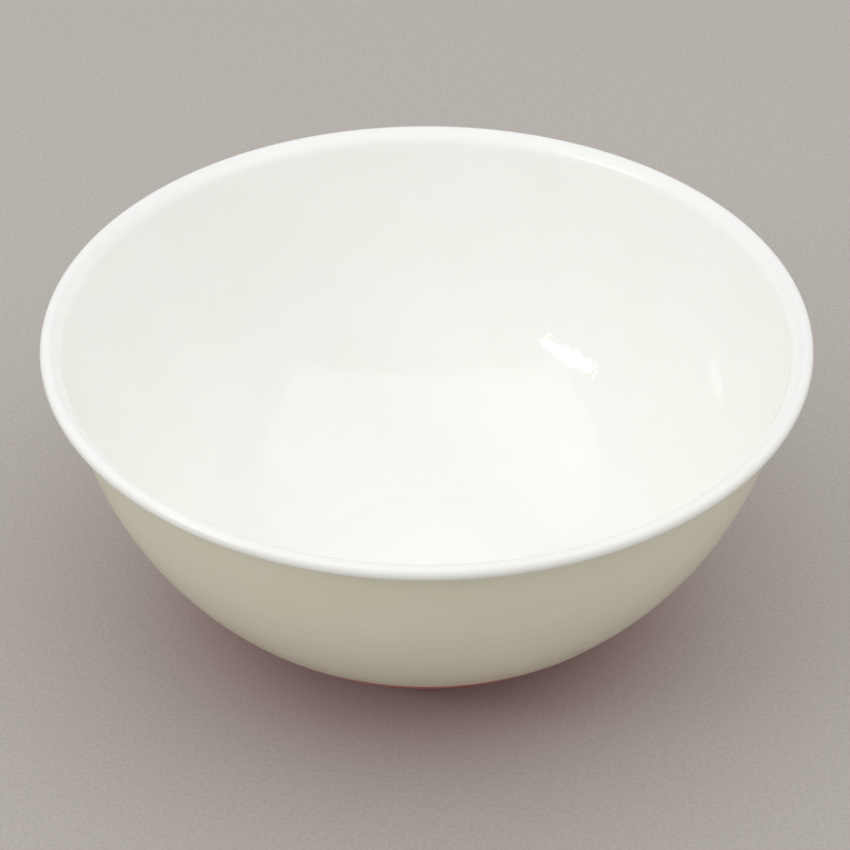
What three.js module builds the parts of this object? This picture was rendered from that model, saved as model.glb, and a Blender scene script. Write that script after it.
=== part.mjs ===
// Salad bowl of enamelled steel: a deep round shell pressed from one sheet, with its edge rolled outwards
// into a lip, and four coats of glass enamel fired onto it. Millimetres, +Z up, origin at the middle of the
// base on the table.
import * as THREE from "three";

// Driving dimensions of the finished bowl, over its enamel
const LIP_DIAMETER = 280;
const HEIGHT = 120;
const BASE_DIAMETER = 88.6; // the flat that the bowl stands on
const BASE_CORNER = 45; // outside radius between the flat and the wall
const WALL_RADIUS = 139.2; // outside radius of the round lower wall, above the base corner
const SHOULDER_DROP = 37.5; // how far below the top the wall grows straighter
const SHOULDER_INSET = 14; // how far the wall's outside lies in from the lip's edge there
const LIP_OVERHANG = 5.4; // how far the lip stands out past the wall's outside, level with the roll
const ROLL_DIAMETER = 5.4; // the round outer edge of the lip
const RED_HEIGHT = 30; // upper edge of the red coat, above the table

// Sheet and coats
const STEEL = 0.8;
const LINING_COAT = 0.4;
const LIP_COAT = 0.4;
const OUTER_COAT = 0.4;
const BASE_COAT = 0.4;
const BOND = 0.05; // kept clear between the sheet and each coat, which are fused in the real bowl

// Turns of the inside face, in degrees: 0 faces the axis, 90 faces up, 180 faces out and 270 faces down
const FLAT_TURN = 90;
const TUCK_TURN = 40; // where the outer coat ends, hidden behind the roll
const FLARE_TURN = 60; // where the lip's wide flare tightens into the roll
const CREST_TURN = 90;
const ROLL_END_TURN = 300; // the sheet's edge, tucked under the roll

// Fineness of the facets
const SIDES = 60;
const CORNER_STEPS = 3;
const LOWER_WALL_STEPS = 2;
const MIDDLE_WALL_STEPS = 3;
const UPPER_WALL_STEPS = 2;
const TUCK_STEPS = 2;
const FLARE_STEPS = 2;
const CREST_STEPS = 1;
const ROLL_STEPS = 7;

// The way from a hollow arc's centre to its surface, at a turn of the inside face
const spoke = (turn) => {
  const angle = THREE.MathUtils.degToRad(turn);
  return new THREE.Vector2(Math.cos(angle), -Math.sin(angle));
};

// The turn at which a hollow arc round one centre reaches the direction of another point
const turnTowards = (centre, point) =>
  THREE.MathUtils.radToDeg(Math.atan2(centre.y - point.y, point.x - centre.x));

// Depth of the finished outside below the sheet's inside face, which every piece is measured from
const wallDepth = STEEL + BOND + OUTER_COAT;
const baseDepth = STEEL + BOND + BASE_COAT;

// Radii of the sheet's inside face
const cornerRadius = BASE_CORNER - baseDepth;
const wallRadius = WALL_RADIUS - wallDepth;
const rollRadius = ROLL_DIAMETER / 2 - LIP_COAT - BOND;

// Centres of the corner and the roll, and two points of the finished outside: at the shoulder, and level
// with the roll
const cornerCentre = new THREE.Vector2(BASE_DIAMETER / 2, BASE_CORNER);
const rollCentre = new THREE.Vector2((LIP_DIAMETER - ROLL_DIAMETER) / 2, HEIGHT - ROLL_DIAMETER / 2);
const shoulder = new THREE.Vector2(LIP_DIAMETER / 2 - SHOULDER_INSET, HEIGHT - SHOULDER_DROP);
const neck = new THREE.Vector2(LIP_DIAMETER / 2 - LIP_OVERHANG, rollCentre.y);

// The lower wall's arc runs through the shoulder and is tangent to the base corner
const wallCentre = (() => {
  const across = shoulder.clone().sub(cornerCentre);
  const span = across.length();
  const toCorner = wallRadius - cornerRadius;
  const along = (toCorner ** 2 - WALL_RADIUS ** 2 + span ** 2) / (2 * span);
  const aside = Math.sqrt(toCorner ** 2 - along ** 2);
  const unit = across.normalize();
  const inward = new THREE.Vector2(-unit.y, unit.x);
  return cornerCentre.clone().addScaledVector(unit, along).addScaledVector(inward, aside);
})();

// The upper wall is tangent to the lower wall at the shoulder, and runs through the neck. Its radius is
// negative where it has to bend outwards to get there.
const shoulderInward = wallCentre.clone().sub(shoulder).normalize();
const shoulderToNeck = neck.clone().sub(shoulder);
const upperOutsideRadius = shoulderToNeck.lengthSq() / (2 * shoulderToNeck.dot(shoulderInward));
const upperCentre = shoulder.clone().addScaledVector(shoulderInward, upperOutsideRadius);
const upperRadius = upperOutsideRadius - wallDepth;

// The flare is tangent to the wall below it and to the roll at its far end
const flareSpoke = spoke(FLARE_TURN);
const flareEnd = rollCentre.clone().addScaledVector(flareSpoke, -rollRadius);
const flareReach = flareEnd.clone().sub(upperCentre);
const flareRadius =
  (flareReach.lengthSq() - upperRadius ** 2) / (2 * (upperRadius - flareReach.dot(flareSpoke)));
const flareCentre = flareEnd.clone().addScaledVector(flareSpoke, flareRadius);

// Turns where one stretch of the section hands over to the next
const cornerTurn = turnTowards(wallCentre, cornerCentre);
const shoulderTurn = turnTowards(wallCentre, shoulder);
const neckTurn =
  upperRadius > 0 ? turnTowards(upperCentre, flareCentre) : turnTowards(flareCentre, upperCentre);
const redTurn = THREE.MathUtils.radToDeg(Math.asin((wallCentre.y - RED_HEIGHT) / WALL_RADIUS));

// A stretch of the section is an arc of the inside face, hollow or round as seen from inside the bowl
const hollow = (centre, radius, from, to, steps) => ({ centre, radius, side: 1, from, to, steps });
const round = (centre, radius, from, to, steps) => ({ centre, radius, side: -1, from, to, steps });
const corner = hollow(cornerCentre, cornerRadius, FLAT_TURN, cornerTurn, CORNER_STEPS);
const lowerWall = hollow(wallCentre, wallRadius, cornerTurn, redTurn, LOWER_WALL_STEPS);
const middleWall = hollow(wallCentre, wallRadius, redTurn, shoulderTurn, MIDDLE_WALL_STEPS);
const upperWall = hollow(upperCentre, upperRadius, shoulderTurn, neckTurn, UPPER_WALL_STEPS);
const tuck = round(flareCentre, flareRadius, neckTurn, TUCK_TURN, TUCK_STEPS);
const flare = round(flareCentre, flareRadius, TUCK_TURN, FLARE_TURN, FLARE_STEPS);
const crest = round(rollCentre, rollRadius, FLARE_TURN, CREST_TURN, CREST_STEPS);
const roll = round(rollCentre, rollRadius, CREST_TURN, ROLL_END_TURN, ROLL_STEPS);

// Points along some stretches, at a depth into the sheet from its inside face
function face(stretches, depth) {
  const points = [];
  stretches.forEach(({ centre, radius, side, from, to, steps }, index) => {
    for (let i = index ? 1 : 0; i <= steps; i++) {
      const turn = from + ((to - from) * i) / steps;
      points.push(centre.clone().addScaledVector(spoke(turn), side * (radius + side * depth)));
    }
  });
  return points;
}

// A layer turned about the axis: its outer face, then its inner face back again. A layer that starts at the
// base corner closes over the flat to the axis, and any other closes on itself.
function layer(stretches, innerDepth, outerDepth) {
  const outer = face(stretches, outerDepth);
  const inner = face(stretches, innerDepth).reverse();
  const outline = [...outer, ...inner];
  if (stretches[0] === corner) {
    outline.unshift(new THREE.Vector2(0, outer[0].y));
    outline.push(new THREE.Vector2(0, inner[inner.length - 1].y));
  } else {
    outline.push(outer[0].clone());
  }
  return new THREE.LatheGeometry(outline, SIDES).rotateX(Math.PI / 2);
}

function piece(name, geometry, color, roughness, metalness) {
  const mesh = new THREE.Mesh(geometry, new THREE.MeshStandardMaterial({ color, roughness, metalness }));
  mesh.name = name;
  return mesh;
}

// Pressed steel shell, one sheet from the base to the edge under the roll
const wholeSection = [corner, lowerWall, middleWall, upperWall, tuck, flare, crest, roll];
const steelLayer = layer(wholeSection, 0, STEEL);
const steelShell = piece("steel_shell", steelLayer, 0x53575b, 0.5, 0.9);

// White enamel inside the bowl, up to the neck
const liningStretches = [corner, lowerWall, middleWall, upperWall];
const liningLayer = layer(liningStretches, -BOND - LINING_COAT, -BOND);
const liningEnamel = piece("lining_enamel", liningLayer, 0xf4f4ee, 0.12, 0);

// White enamel over the flare and round the roll
const lipStretches = [tuck, flare, crest, roll];
const lipLayer = layer(lipStretches, -BOND - LIP_COAT, -BOND);
const lipEnamel = piece("lip_enamel", lipLayer, 0xf6f6f4, 0.15, 0);

// Ivory enamel on the outside of the wall
const outerStretches = [middleWall, upperWall, tuck];
const outerLayer = layer(outerStretches, STEEL + BOND, wallDepth);
const outerEnamel = piece("outer_enamel", outerLayer, 0xeeead2, 0.2, 0);

// Red enamel on the underside, with the flat that meets the table
const baseStretches = [corner, lowerWall];
const baseLayer = layer(baseStretches, STEEL + BOND, baseDepth);
const baseEnamel = piece("base_enamel", baseLayer, 0xa83a34, 0.25, 0);

const saladBowl = new THREE.Group();
saladBowl.name = "salad_bowl";
saladBowl.add(steelShell, liningEnamel, lipEnamel, outerEnamel, baseEnamel);

export default saladBowl;
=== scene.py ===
# Enamelled steel salad bowl over its CAD frame: the pressed shell, its four fired coats, then the studio.
from collections import namedtuple
import math
import bpy
from mathutils import Matrix, Vector


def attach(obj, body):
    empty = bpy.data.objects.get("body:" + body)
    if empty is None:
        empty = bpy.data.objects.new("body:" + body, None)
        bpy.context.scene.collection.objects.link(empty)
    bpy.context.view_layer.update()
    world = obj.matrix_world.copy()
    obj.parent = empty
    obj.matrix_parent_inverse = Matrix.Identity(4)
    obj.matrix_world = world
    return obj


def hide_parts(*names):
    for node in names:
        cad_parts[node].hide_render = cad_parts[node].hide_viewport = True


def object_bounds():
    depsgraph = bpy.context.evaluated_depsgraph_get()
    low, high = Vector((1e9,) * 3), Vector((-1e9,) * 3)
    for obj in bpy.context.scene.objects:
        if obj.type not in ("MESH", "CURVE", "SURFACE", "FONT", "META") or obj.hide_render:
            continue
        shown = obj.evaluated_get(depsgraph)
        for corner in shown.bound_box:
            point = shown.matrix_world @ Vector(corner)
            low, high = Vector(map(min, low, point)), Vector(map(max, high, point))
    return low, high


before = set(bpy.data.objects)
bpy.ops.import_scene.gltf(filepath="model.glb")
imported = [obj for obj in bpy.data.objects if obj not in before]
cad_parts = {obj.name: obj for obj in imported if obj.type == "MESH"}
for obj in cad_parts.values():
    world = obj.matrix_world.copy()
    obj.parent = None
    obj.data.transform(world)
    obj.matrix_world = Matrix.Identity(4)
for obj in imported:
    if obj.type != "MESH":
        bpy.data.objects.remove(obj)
cad_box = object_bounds()


# Steel shell
# One sheet of mild steel, pressed to a deep round bowl and curled outwards at its edge into a hollow roll.
# Enamel covers all of it but the inside of the curl, which keeps the thin dark ground coat.
MM = 0.001
LIP_DIAMETER = (cad_box[1][0] - cad_box[0][0]) / MM
HEIGHT = (cad_box[1][2] - cad_box[0][2]) / MM
BASE_DIAMETER = 88.6  # the flat that the bowl stands on
BASE_CORNER = 45.0  # outside radius between the flat and the wall
WALL_RADIUS = 139.2  # outside radius of the round lower wall
SHOULDER_DROP = 37.5  # how far below the top the wall grows straighter
SHOULDER_INSET = 14.0  # how far the wall's outside lies in from the lip's edge there
LIP_OVERHANG = 5.4  # how far the lip stands out past the wall's outside, level with the roll
ROLL_DIAMETER = 5.4  # the round outer edge of the lip
RED_HEIGHT = 30.0  # upper edge of the red coat, above the table
STEEL = 0.8
COAT = 0.4
BOND = 0.05  # kept clear between the sheet and each coat
OUTSIDE = STEEL + BOND + COAT  # depth of the finished outside below the sheet's inside face

# Turns of the sheet's inside face, in degrees: 0 faces the axis, 90 up, 180 out and 270 down
FLAT_TURN = 90.0
TUCK_TURN = 40.0  # where the ivory coat ends, hidden behind the roll
FLARE_TURN = 60.0  # where the lip's flare tightens into the roll
ROLL_END_TURN = 300.0  # the sheet's edge, tucked under the roll

# Fineness of the mesh
SIDES = 256
CORNER_STEPS = 12
LOWER_WALL_STEPS = 14
MIDDLE_WALL_STEPS = 24
UPPER_WALL_STEPS = 12
TUCK_STEPS = 8
FLARE_STEPS = 6
ROLL_STEPS = 40
SEAM = 0.005  # points closer than this are merged
CREASE = math.radians(35.0)  # edges sharper than this stay sharp


def spoke(turn):
    # The way from a hollow arc's centre to the sheet, at a turn
    return Vector((math.cos(math.radians(turn)), -math.sin(math.radians(turn))))


def turn_towards(centre, point):
    # The turn at which a hollow arc round a centre points at a place
    return math.degrees(math.atan2(centre.y - point.y, point.x - centre.x))


# The section is a chain of arcs of the sheet's inside face, each tangent to the next
corner_centre = Vector((BASE_DIAMETER / 2, BASE_CORNER))
corner_radius = BASE_CORNER - OUTSIDE
wall_radius = WALL_RADIUS - OUTSIDE
roll_centre = Vector(((LIP_DIAMETER - ROLL_DIAMETER) / 2, HEIGHT - ROLL_DIAMETER / 2))
roll_radius = ROLL_DIAMETER / 2 - COAT - BOND
shoulder = Vector((LIP_DIAMETER / 2 - SHOULDER_INSET, HEIGHT - SHOULDER_DROP))
neck = Vector((LIP_DIAMETER / 2 - LIP_OVERHANG, roll_centre.y))

# The lower wall is tangent to the base corner and runs through the shoulder
across = shoulder - corner_centre
to_corner = wall_radius - corner_radius
along = (to_corner ** 2 - WALL_RADIUS ** 2 + across.length_squared) / (2 * across.length)
aside = math.sqrt(to_corner ** 2 - along ** 2)
unit = across.normalized()
wall_centre = corner_centre + unit * along + Vector((-unit.y, unit.x)) * aside

# The upper wall is straighter, tangent to the lower wall at the shoulder, and runs through the neck
inward = (wall_centre - shoulder).normalized()
rise = neck - shoulder
upper_outside = rise.length_squared / (2 * rise.dot(inward))
upper_centre = shoulder + inward * upper_outside
upper_radius = upper_outside - OUTSIDE

# The flare is tangent to the upper wall and to the roll
flare_spoke = spoke(FLARE_TURN)
flare_end = roll_centre - flare_spoke * roll_radius
reach = flare_end - upper_centre
flare_radius = (reach.length_squared - upper_radius ** 2) / 2 / (upper_radius - reach.dot(flare_spoke))
flare_centre = flare_end + flare_spoke * flare_radius

corner_turn = turn_towards(wall_centre, corner_centre)
red_turn = math.degrees(math.asin((wall_centre.y - RED_HEIGHT) / WALL_RADIUS))
shoulder_turn = turn_towards(wall_centre, shoulder)
neck_turn = turn_towards(upper_centre, flare_centre)

# A stretch of the section is one arc, hollow or round as seen from inside the bowl, between two turns
Stretch = namedtuple("Stretch", "centre radius side start end steps")
HOLLOW, ROUND = 1, -1
corner = Stretch(corner_centre, corner_radius, HOLLOW, FLAT_TURN, corner_turn, CORNER_STEPS)
lower_wall = Stretch(wall_centre, wall_radius, HOLLOW, corner_turn, red_turn, LOWER_WALL_STEPS)
middle_wall = Stretch(wall_centre, wall_radius, HOLLOW, red_turn, shoulder_turn, MIDDLE_WALL_STEPS)
upper_wall = Stretch(upper_centre, upper_radius, HOLLOW, shoulder_turn, neck_turn, UPPER_WALL_STEPS)
tuck = Stretch(flare_centre, flare_radius, ROUND, neck_turn, TUCK_TURN, TUCK_STEPS)
flare = Stretch(flare_centre, flare_radius, ROUND, TUCK_TURN, FLARE_TURN, FLARE_STEPS)
roll = Stretch(roll_centre, roll_radius, ROUND, FLARE_TURN, ROLL_END_TURN, ROLL_STEPS)


def section_point(stretch, turn, depth):
    # Where a stretch lies at a turn, at a depth into the sheet from its inside face
    point = (stretch.centre + spoke(turn) * (stretch.side * stretch.radius + depth)) * MM
    return Vector((point.x, 0.0, point.y))


def push_point(target):
    # Extrudes the section's last point straight to a new place
    section = bpy.context.edit_object
    section.update_from_editmode()
    last = next(v.co for v in section.data.vertices if v.select)
    bpy.ops.mesh.extrude_region_move(TRANSFORM_OT_translate={"value": target - last})


def sweep_point(stretch, first, last):
    # Spins the section's last point along a stretch, from one turn to another
    pivot = (stretch.centre.x * MM, 0.0, stretch.centre.y * MM)
    swing = math.radians(first - last)
    bpy.ops.mesh.spin(steps=stretch.steps, angle=swing, center=pivot, axis=(0.0, 1.0, 0.0))


def turned_layer(name, stretches, near, far):
    # Draws the closed section of a layer between two depths, and turns it about the bowl's axis
    on_axis = stretches[0] is corner
    start = section_point(stretches[0], stretches[0].start, near)
    first = Vector((0.0, 0.0, start.z)) if on_axis else start
    bpy.ops.object.select_all(action="DESELECT")
    bpy.ops.mesh.primitive_plane_add(size=MM, location=first)
    piece = bpy.context.object
    piece.name = piece.data.name = name
    bpy.ops.object.transform_apply(location=True, rotation=True, scale=True)
    bpy.ops.object.mode_set(mode="EDIT")
    bpy.ops.mesh.select_mode(type="VERT")
    bpy.ops.mesh.select_all(action="SELECT")
    bpy.ops.mesh.merge(type="CENTER")
    if on_axis:
        push_point(start)
    for stretch in stretches:
        sweep_point(stretch, stretch.start, stretch.end)
    push_point(section_point(stretches[-1], stretches[-1].end, far))
    for stretch in reversed(stretches):
        sweep_point(stretch, stretch.end, stretch.start)
    if on_axis:
        push_point(Vector((0.0, 0.0, section_point(corner, FLAT_TURN, far).z)))
    else:
        push_point(first)
    bpy.ops.mesh.select_all(action="SELECT")
    bpy.ops.mesh.spin(steps=SIDES, angle=math.tau, center=(0.0, 0.0, 0.0), axis=(0.0, 0.0, 1.0))
    bpy.ops.mesh.select_all(action="SELECT")
    bpy.ops.mesh.remove_doubles(threshold=SEAM * MM)
    bpy.ops.mesh.normals_make_consistent(inside=False)
    bpy.ops.object.mode_set(mode="OBJECT")
    bpy.ops.object.shade_smooth_by_angle(angle=CREASE)
    return piece


# The ground coat's look; a texture's size and depth are in millimetres, here and on the other pieces
GROUND_DARK = (0.035, 0.037, 0.042)
GROUND_PALE = (0.075, 0.078, 0.082)
GROUND_ROUGHNESS = (0.35, 0.6)
GROUND_MOTTLE = 2.5
GROUND_GRAIN = 0.6
GROUND_GRAIN_DEPTH = 0.02
NOISE_LOW, NOISE_HIGH = 0.3, 0.7  # nearly all of a noise lies between these
MIX_FIRST, MIX_SECOND, MIX_RESULT = 6, 7, 2  # a Mix node's colour sockets, whose names aren't unique


def add_node(material, kind, **settings):
    # Adds a shader node; capitalised settings are its sockets, with spaces for underscores
    node = material.node_tree.nodes.new("ShaderNode" + kind)
    for key, value in settings.items():
        if key[0].isupper():
            node.inputs[key.replace("_", " ")].default_value = value
        else:
            setattr(node, key, value)
    return node


def place_on_piece(material, socket):
    # Feeds a socket with the place on the piece, in metres
    place = add_node(material, "TexCoord")
    material.node_tree.links.new(place.outputs["Object"], socket)


def noise(material, wavelength, detail=2.0, roughness=0.5):
    # Soft noise of a given wavelength, fixed to the piece
    scale = 1.0 / (wavelength * MM)
    texture = add_node(material, "TexNoise", Scale=scale, Detail=detail, Roughness=roughness)
    place_on_piece(material, texture.inputs["Vector"])
    return texture.outputs["Fac"]


def ranged(material, value, low, high, start, end):
    # Spreads a value from one range to another
    spread = add_node(material, "MapRange", From_Min=low, From_Max=high, To_Min=start, To_Max=end)
    material.node_tree.links.new(value, spread.inputs["Value"])
    return spread.outputs["Result"]


def gloss(material, texture, roughnesses):
    # A roughness that wanders between two values with a noise
    return ranged(material, texture, NOISE_LOW, NOISE_HIGH, *roughnesses)


def blend(material, share, first, second):
    # Mixes two colours; either may be the output of a node
    mix = add_node(material, "Mix", data_type="RGBA")
    material.node_tree.links.new(share, mix.inputs["Factor"])
    for socket, colour in ((mix.inputs[MIX_FIRST], first), (mix.inputs[MIX_SECOND], second)):
        if isinstance(colour, bpy.types.NodeSocket):
            material.node_tree.links.new(colour, socket)
        else:
            socket.default_value = (*colour, 1.0)
    return mix.outputs[MIX_RESULT]


def surface(material, colour, roughness, height, depth):
    # Joins a colour, a roughness and a height of a given depth to the material's shader
    links = material.node_tree.links
    shader = material.node_tree.nodes["Principled BSDF"]
    bump = add_node(material, "Bump", Strength=1.0, Distance=depth * MM)
    links.new(height, bump.inputs["Height"])
    links.new(bump.outputs["Normal"], shader.inputs["Normal"])
    links.new(colour, shader.inputs["Base Color"])
    links.new(roughness, shader.inputs["Roughness"])


steel = bpy.data.materials.new("ground_coat")
steel.use_nodes = True
mottle = noise(steel, GROUND_MOTTLE, detail=4.0)
surface(
    steel,
    blend(steel, mottle, GROUND_DARK, GROUND_PALE),
    gloss(steel, mottle, GROUND_ROUGHNESS),
    noise(steel, GROUND_GRAIN),
    GROUND_GRAIN_DEPTH,
)
steel_shell = turned_layer(
    "pressed_steel", [corner, lower_wall, middle_wall, upper_wall, tuck, flare, roll], 0.0, STEEL
)
steel_shell.data.materials.append(steel)
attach(steel_shell, "root")
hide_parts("steel_shell")


# Lining
# White glass enamel, sprayed over the inside of the shell and fired. It flows as it melts, which leaves a
# glossy skin with a faint orange peel, slow clouds and a few pinholes. Over the bottom it is painted a
# cooler, more neutral white, a painted tint of the direct light that falls there.
ENAMEL_IOR = 1.58
LINING_WHITE = (0.885, 0.888, 0.85)
LINING_CLOUD = (0.873, 0.877, 0.834)
LINING_CLOUD_SIZE = 45.0
CLOUD_LOW, CLOUD_HIGH = 0.35, 0.65  # the part of a noise over which a cloud fades in
# A cooler, more neutral white painted over the bottom, a painted tint of the direct light that falls there
LINING_BOTTOM_LIGHT_TINT = (0.88, 0.88, 0.862)
BOTTOM_TINT_LOW, BOTTOM_TINT_HIGH = 4.0, 30.0  # heights over which the bottom's painted light tint fades out
PINHOLE = (0.45, 0.44, 0.40)
PINHOLE_SPACING = 14.0
PINHOLE_SHARE = 0.12  # of the places for a pinhole, the share that has one
PINHOLE_RADIUS = 0.35
PINHOLE_CORE = 0.14  # radius of the darkest part
LINING_ROUGHNESS = (0.05, 0.08)
LINING_GLOSS_SIZE = 12.0
WHITE_PEEL = 4.5
LINING_PEEL_DEPTH = 0.07


def enamel(name):
    # A new material with the shine of fired glass
    material = bpy.data.materials.new(name)
    material.use_nodes = True
    material.node_tree.nodes["Principled BSDF"].inputs["IOR"].default_value = ENAMEL_IOR
    return material


def cloud(material, texture):
    # Soft-edged clouds out of a noise
    return ranged(material, texture, CLOUD_LOW, CLOUD_HIGH, 0.0, 1.0)


def white_glass(material):
    # The lining's white, with slow clouds of thinner glass
    thinner = cloud(material, noise(material, LINING_CLOUD_SIZE))
    return blend(material, thinner, LINING_WHITE, LINING_CLOUD)


def height_of(material):
    # Height above the table, in metres
    split = add_node(material, "SeparateXYZ")
    place_on_piece(material, split.inputs["Vector"])
    return split.outputs["Z"]


def pinholes(material):
    # A mask of tiny pits, at most one for each cell of a grid
    links = material.node_tree.links
    cells = add_node(material, "TexVoronoi", Scale=1.0 / (PINHOLE_SPACING * MM))
    place_on_piece(material, cells.inputs["Vector"])
    chosen = add_node(material, "Math", operation="GREATER_THAN")
    links.new(cells.outputs["Color"], chosen.inputs[0])
    chosen.inputs[1].default_value = 1.0 - PINHOLE_SHARE
    core = PINHOLE_CORE / PINHOLE_SPACING
    rim = PINHOLE_RADIUS / PINHOLE_SPACING
    pit = ranged(material, cells.outputs["Distance"], core, rim, 1.0, 0.0)
    both = add_node(material, "Math", operation="MULTIPLY")
    links.new(pit, both.inputs[0])
    links.new(chosen.outputs["Value"], both.inputs[1])
    return both.outputs["Value"]


lining_white = enamel("lining_white")
# Painted light tint over the bottom, fading out up the wall
painted_bottom_tint = ranged(lining_white, height_of(lining_white), BOTTOM_TINT_LOW * MM, BOTTOM_TINT_HIGH * MM, 1.0, 0.0)
lining_with_bottom_tint = blend(lining_white, painted_bottom_tint, white_glass(lining_white), LINING_BOTTOM_LIGHT_TINT)
surface(
    lining_white,
    blend(lining_white, pinholes(lining_white), lining_with_bottom_tint, PINHOLE),
    gloss(lining_white, noise(lining_white, LINING_GLOSS_SIZE), LINING_ROUGHNESS),
    noise(lining_white, WHITE_PEEL),
    LINING_PEEL_DEPTH,
)
lining = turned_layer("lining", [corner, lower_wall, middle_wall, upper_wall], -BOND - COAT, -BOND)
lining.data.materials.append(lining_white)
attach(lining, "root")
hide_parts("lining_enamel")


# Lip
# A second coat of white enamel, over the flare and round the roll. The edge is dipped, so the coat wraps the
# roll and stops underneath it. It is duller than the lining, and along the top of the roll it is painted
# greyer, a painted shade that holds down the crest where the overhead light falls strongest.
# The crest's painted shade: greys darker than the lining's white, standing in for the overhead light on the
# top of the roll
CREST_SHADE_GREY = (0.785, 0.786, 0.777)
CREST_SHADE_DARKER = (0.77, 0.772, 0.764)
CREST_SHADE_MOTTLE_SIZE = 18.0
CREST_MOTTLE_LOW, CREST_MOTTLE_HIGH = 0.4, 0.7  # the part of a noise over which the darker painted crest shade fades in
EDGE_START, EDGE_END = 2.0, 0.5  # distances from the lip's edge between which the crest's painted grey shade fades out
LIP_ROUGHNESS = (0.16, 0.24)
LIP_GLOSS_SIZE = 8.0
LIP_PEEL_DEPTH = 0.04


def radius_of(material):
    # Distance from the bowl's axis, in metres
    flat = add_node(material, "Mapping", Scale=(1.0, 1.0, 0.0))
    place_on_piece(material, flat.inputs["Vector"])
    length = add_node(material, "VectorMath", operation="LENGTH")
    material.node_tree.links.new(flat.outputs["Vector"], length.inputs[0])
    return length.outputs["Value"]


lip_white = enamel("lip_white")
# Painted shade over the top half of the roll, a mottled grey that fades out near the roll's outer edge
crest_shade_mottle = ranged(lip_white, noise(lip_white, CREST_SHADE_MOTTLE_SIZE), CREST_MOTTLE_LOW, CREST_MOTTLE_HIGH, 0.0, 1.0)
painted_crest_shade = ranged(lip_white, height_of(lip_white), roll_centre.y * MM, HEIGHT * MM, 0.0, 1.0)
lip_radius = LIP_DIAMETER / 2
edge_start = (lip_radius - EDGE_START) * MM
edge_end = (lip_radius - EDGE_END) * MM
edge = ranged(lip_white, radius_of(lip_white), edge_start, edge_end, 0.0, 1.0)
lip_glass = white_glass(lip_white)
crest_shade_colour = blend(lip_white, crest_shade_mottle, CREST_SHADE_GREY, CREST_SHADE_DARKER)
surface(
    lip_white,
    blend(lip_white, edge, blend(lip_white, painted_crest_shade, lip_glass, crest_shade_colour), lip_glass),
    gloss(lip_white, noise(lip_white, LIP_GLOSS_SIZE), LIP_ROUGHNESS),
    noise(lip_white, WHITE_PEEL),
    LIP_PEEL_DEPTH,
)
lip = turned_layer("lip", [tuck, flare, roll], -BOND - COAT, -BOND)
lip.data.materials.append(lip_white)
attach(lip, "root")
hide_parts("lip_enamel")


# Outside
# Ivory enamel on the wall, from the red underside up to the back of the roll. It is sprayed on as the bowl
# turns, more thinly than the lining, which leaves uneven clouds and faint level rings.
IVORY = (0.79, 0.777, 0.622)
IVORY_RING = (0.772, 0.757, 0.596)
IVORY_THIN = (0.767, 0.749, 0.584)
IVORY_CLOUD_SIZE = 30.0
RING_SPACING = 3.5
RING_STRETCH = 14.0  # how many times longer a ring's clouds are than high
IVORY_ROUGHNESS = (0.16, 0.24)
IVORY_GLOSS_SIZE = 10.0
OUTSIDE_PEEL = 4.0
OUTSIDE_PEEL_DETAIL = 1.5
OUTSIDE_PEEL_DEPTH = 0.03


def rings(material):
    # Noise drawn out round the bowl into faint level bands
    drawn = add_node(material, "Mapping", Scale=(1.0 / RING_STRETCH, 1.0 / RING_STRETCH, 1.0))
    place_on_piece(material, drawn.inputs["Vector"])
    texture = add_node(material, "TexNoise", Scale=1.0 / (RING_SPACING * MM), Detail=2.0)
    material.node_tree.links.new(drawn.outputs["Vector"], texture.inputs["Vector"])
    return cloud(material, texture.outputs["Fac"])


outer_ivory = enamel("outer_ivory")
ivory_cloud = cloud(outer_ivory, noise(outer_ivory, IVORY_CLOUD_SIZE, detail=3.0))
ringed_ivory = blend(outer_ivory, rings(outer_ivory), IVORY, IVORY_RING)
surface(
    outer_ivory,
    blend(outer_ivory, ivory_cloud, ringed_ivory, IVORY_THIN),
    gloss(outer_ivory, noise(outer_ivory, IVORY_GLOSS_SIZE), IVORY_ROUGHNESS),
    noise(outer_ivory, OUTSIDE_PEEL, detail=OUTSIDE_PEEL_DETAIL),
    OUTSIDE_PEEL_DEPTH,
)
outside = turned_layer("outside", [middle_wall, upper_wall, tuck], STEEL + BOND, OUTSIDE)
outside.data.materials.append(outer_ivory)
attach(outside, "root")
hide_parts("outer_enamel")


# Underside
# Red enamel over the base and the lower wall, fired like the ivory. The flat that the bowl stands on is
# rubbed dull by tables and shelves, and paler in patches.
RED = (0.70, 0.09, 0.07)
RED_CLOUD = (0.64, 0.078, 0.06)
RED_CLOUD_SIZE = 30.0
RED_RUBBED = (0.64, 0.16, 0.13)
RUBBED_HEIGHT = 0.6  # above the table, where the rubbing ends
RUBBED_SIZE = 12.0
RUBBED_LOW, RUBBED_HIGH = 0.38, 0.66  # the part of a noise over which a rubbed patch fades in
RED_ROUGHNESS = (0.2, 0.5)  # on the wall, and on the rubbed flat
base_red = enamel("base_red")
near_table = ranged(base_red, height_of(base_red), 0.0, RUBBED_HEIGHT * MM, 1.0, 0.0)
patch_noise = noise(base_red, RUBBED_SIZE, detail=5.0)
patches = ranged(base_red, patch_noise, RUBBED_LOW, RUBBED_HIGH, 0.0, 1.0)
red_cloud = cloud(base_red, noise(base_red, RED_CLOUD_SIZE, detail=3.0))
red_glass = blend(base_red, red_cloud, RED, RED_CLOUD)
surface(
    base_red,
    blend(base_red, near_table, red_glass, blend(base_red, patches, red_glass, RED_RUBBED)),
    ranged(base_red, near_table, 0.0, 1.0, *RED_ROUGHNESS),
    noise(base_red, OUTSIDE_PEEL, detail=OUTSIDE_PEEL_DETAIL),
    OUTSIDE_PEEL_DEPTH,
)
underside = turned_layer("underside", [corner, lower_wall], STEEL + BOND, OUTSIDE)
underside.data.materials.append(base_red)
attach(underside, "root")
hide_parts("base_enamel")


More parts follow.
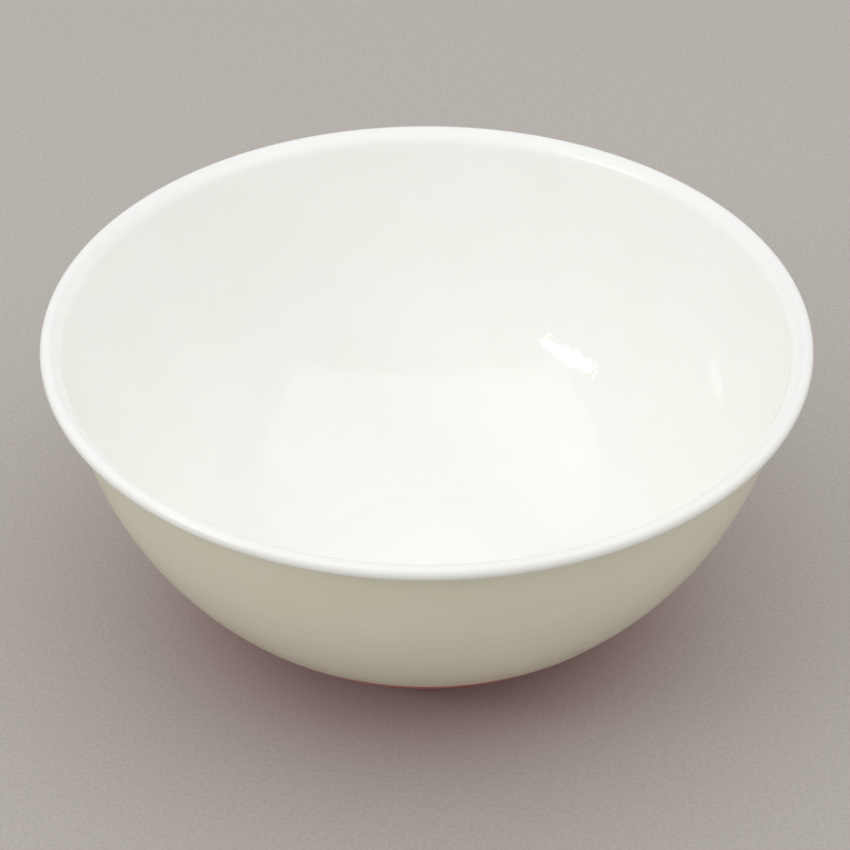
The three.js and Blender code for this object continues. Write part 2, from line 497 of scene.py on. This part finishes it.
# Floor
# A wide sheet of warm grey studio paper with a fine grain, laid flat under the bowl.
FLOOR_SIZE = 12.0
PAPER = (0.452, 0.419, 0.396)
PAPER_DARK = (0.402, 0.371, 0.349)
PAPER_SPECULAR = 0.1
PAPER_ROUGHNESS = (0.85, 0.95)
PAPER_GRAIN = 1.5
PAPER_GRAIN_DEPTH = 0.05
bpy.ops.object.select_all(action="DESELECT")
bpy.ops.mesh.primitive_plane_add(size=FLOOR_SIZE)
floor = bpy.context.object
floor.name = "floor"
paper = bpy.data.materials.new("studio_paper")
paper.use_nodes = True
paper.node_tree.nodes["Principled BSDF"].inputs["Specular IOR Level"].default_value = PAPER_SPECULAR
grain = noise(paper, PAPER_GRAIN, detail=3.0, roughness=0.6)
surface(
    paper,
    blend(paper, cloud(paper, grain), PAPER, PAPER_DARK),
    gloss(paper, grain, PAPER_ROUGHNESS),
    grain,
    PAPER_GRAIN_DEPTH,
)
floor.data.materials.append(paper)


# Light
# One wide diffuser overhead, which reaches a little further to the left and dims towards the back, a narrow
# strip lamp low on the left, and the light of a pale room, a little brighter on the right.
DIFFUSER_LEVEL = 1.3  # metres above the floor
DIFFUSER_LEFT, DIFFUSER_RIGHT = -1.7, 1.55
DIFFUSER_EDGES = (-0.95, 0.35, 1.1, 2.0)  # of its three bands, from the front to the back
DIFFUSER_RADIANCES = (0.72, 0.44, 0.2)
STRIP_DISTANCE = 1.5  # of the strip's ends from the middle of the bowl's mouth
STRIP_AZIMUTHS = (-130.5, -105.5)
STRIP_ELEVATIONS = (29.7, 26.1)
STRIP_WIDTH = 0.065
STRIP_RADIANCE = 18.0
ROOM_LEFT, ROOM_RIGHT = 0.69, 0.79  # radiances
GLOSSY_BOUNCES = 12


def panel(name, centre, long_side, outward, short_side, radiance):
    # A flat lamp of even radiance, with its back turned outward
    across = long_side.normalized()
    back = (outward - across * outward.dot(across)).normalized()
    bpy.ops.object.light_add(type="AREA", location=centre)
    lamp = bpy.context.object
    lamp.name = name
    lamp.rotation_euler = Matrix((across, back.cross(across), back)).transposed().to_euler()
    lamp.data.shape = "RECTANGLE"
    lamp.data.size = long_side.length
    lamp.data.size_y = short_side
    lamp.data.energy = radiance * math.pi * long_side.length * short_side


def way_to(azimuth, elevation):
    # A direction from the bowl: azimuth from straight behind it, towards the right
    level = math.cos(math.radians(elevation))
    turn = math.radians(azimuth)
    return Vector((math.sin(turn) * level, math.cos(turn) * level, math.sin(math.radians(elevation))))


for front, back, radiance in zip(DIFFUSER_EDGES, DIFFUSER_EDGES[1:], DIFFUSER_RADIANCES):
    panel(
        "diffuser",
        Vector(((DIFFUSER_LEFT + DIFFUSER_RIGHT) / 2, (front + back) / 2, DIFFUSER_LEVEL)),
        Vector((DIFFUSER_RIGHT - DIFFUSER_LEFT, 0.0, 0.0)),
        Vector((0.0, 0.0, 1.0)),
        back - front,
        radiance,
    )
mouth = Vector((0.0, 0.0, HEIGHT * MM))
strip_start, strip_end = [
    mouth + way_to(azimuth, elevation) * STRIP_DISTANCE
    for azimuth, elevation in zip(STRIP_AZIMUTHS, STRIP_ELEVATIONS)
]
strip_middle = (strip_start + strip_end) / 2
panel("strip", strip_middle, strip_end - strip_start, strip_middle - mouth, STRIP_WIDTH, STRIP_RADIANCE)

room = bpy.data.worlds.new("room")
bpy.context.scene.world = room
room.use_nodes = True
facing = add_node(room, "TexCoord")
facing_parts = add_node(room, "SeparateXYZ")
room.node_tree.links.new(facing.outputs["Generated"], facing_parts.inputs["Vector"])
room_radiance = ranged(room, facing_parts.outputs["X"], -1.0, 1.0, ROOM_LEFT, ROOM_RIGHT)
background = room.node_tree.nodes["Background"]
background.inputs["Color"].default_value = (1.0, 1.0, 1.0, 1.0)
room.node_tree.links.new(room_radiance, background.inputs["Strength"])

# Seen edge-on, the glossy lining mirrors itself many times over
bpy.context.scene.cycles.glossy_bounces = GLOSSY_BOUNCES


# Camera
# A long lens in front of the bowl and above it, looking down into the mouth.
PICTURE = 850  # pixels each way
SENSOR = 36.0  # millimetres
FOCAL_PIXELS = 3023.5
SHIFT_X, SHIFT_Y = -1.63, 0.5  # pixels
DISTANCE = 1.1  # metres, from the middle of the lip
ELEVATION = math.radians(35.206)
DIP = math.radians(1.79)  # how far below the middle of the lip the lens points
camera_data = bpy.data.cameras.new("camera")
camera = bpy.data.objects.new("camera", camera_data)
bpy.context.collection.objects.link(camera)
camera_data.sensor_width = SENSOR
camera_data.lens = SENSOR * FOCAL_PIXELS / PICTURE
camera_data.shift_x = SHIFT_X / PICTURE
camera_data.shift_y = SHIFT_Y / PICTURE
lip_middle = Vector((0.0, 0.0, roll_centre.y * MM))
camera.location = lip_middle + Vector((0.0, -math.cos(ELEVATION), math.sin(ELEVATION))) * DISTANCE
camera.rotation_euler = (math.pi / 2 - ELEVATION - DIP, 0.0, 0.0)
bpy.context.scene.camera = camera
bpy.context.scene.view_settings.view_transform = "Standard"
